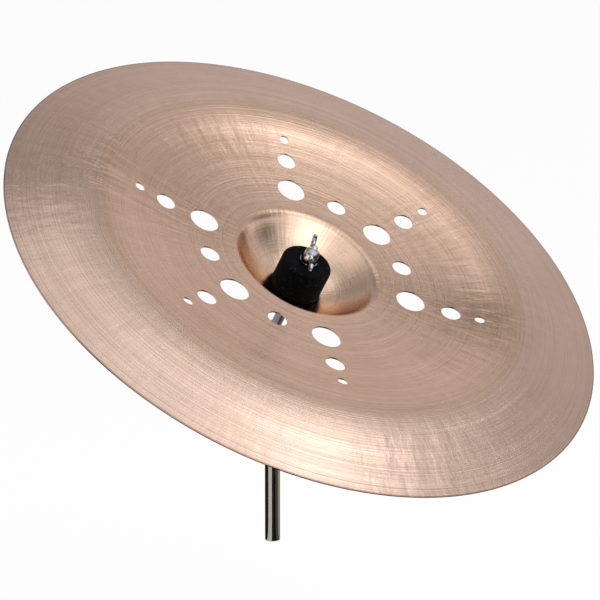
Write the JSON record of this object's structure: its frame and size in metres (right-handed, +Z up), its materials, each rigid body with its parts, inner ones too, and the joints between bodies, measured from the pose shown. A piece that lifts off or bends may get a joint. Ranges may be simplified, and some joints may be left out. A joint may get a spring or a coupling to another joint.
{
  "type": "china cymbal",
  "caption": "China cymbal with round sound holes, hung bell down between felts on a threaded rod with a wing nut, on a clamped tilter and a round post.",
  "frame": {"origin": "centre of the post's flat lower end", "axes": "+Z up along the post; the tilter's clamp bolt lies along X, and the rod and cymbal lean towards -Y"},
  "size_m": [0.4572, 0.3704, 0.3541],
  "materials": {
    "bronze": "lathed and hand-hammered bell bronze, satin with fine turned grooves, brighter in the bell",
    "felt": "pressed black wool felt, fuzzy",
    "chrome": "bright chrome plate",
    "cast_chrome": "chrome plate over a die casting, slightly soft",
    "steel": "zinc-plated steel",
    "nylon": "black nylon",
    "brake_fibre": "dull brown pressed fibre"
  },
  "bodies": {
    "post_body": {"post": "chrome", "post_jaw": "cast_chrome", "key_bolt": "chrome", "clamp_bolt": "chrome", "friction_disc": "brake_fibre"},
    "clamp_washers": {"clamp_washer": "chrome", "spring_washer": "steel"},
    "clamp_nut": {"clamp_wing_nut": "chrome"},
    "rod_body": {"rod": "chrome", "rod_jaw": "cast_chrome", "rod_pin": "steel", "seat_nut": "steel", "cup_washer": "steel", "sleeve": "nylon"},
    "felts": {"lower_felt": "felt", "upper_felt": "felt"},
    "cymbal_body": {"cymbal": "bronze"},
    "rod_washer": {"nut_washer": "chrome"},
    "rod_nut": {"wing_nut": "chrome"}
  },
  "joints": [
    {"name": "tilter_hinge", "type": "hinge", "parent": "post_body", "child": "rod_body", "pos_m": [-0.0096, 0, 0.1469], "axis": [1, 0, 0], "range_deg": [-126, 54]},
    {"name": "cymbal_swing", "type": "hinge", "parent": "rod_body", "child": "felts", "pos_m": [-0.0096, -0.03671, 0.19742], "axis": [1, 0, 0], "range_deg": [-8, 8], "stiffness_Nm_per_rad": 6, "springref_deg": -2.77, "deforming": ["lower_felt", "upper_felt"]},
    {"name": "cymbal_spin", "type": "hinge", "parent": "felts", "child": "cymbal_body", "pos_m": [-0.0096, -0.03671, 0.19742], "axis": [0, -0.5878, 0.809], "continuous": true},
    {"name": "nut_slide", "type": "slide", "parent": "rod_body", "child": "rod_washer", "axis": [0, -0.5878, 0.809], "range_m": [0, 0.0125]},
    {"name": "nut_turn", "type": "hinge", "parent": "rod_washer", "child": "rod_nut", "pos_m": [-0.0096, -0.0543, 0.22157], "axis": [0, -0.5878, 0.809], "range_deg": [0, 3600]},
    {"name": "clamp_slide", "type": "slide", "parent": "post_body", "child": "clamp_washers", "axis": [-1, 0, 0], "range_m": [0, 0.012]},
    {"name": "clamp_turn", "type": "hinge", "parent": "clamp_washers", "child": "clamp_nut", "pos_m": [-0.018, 0, 0.1469], "axis": [-1, 0, 0], "range_deg": [0, 4320]}
  ],
  "couplings": [
    {"joint": "nut_slide", "follows": "nut_turn", "m_per_rad": 0.00019894},
    {"joint": "clamp_slide", "follows": "clamp_turn", "m_per_rad": 0.00015915}
  ]
}
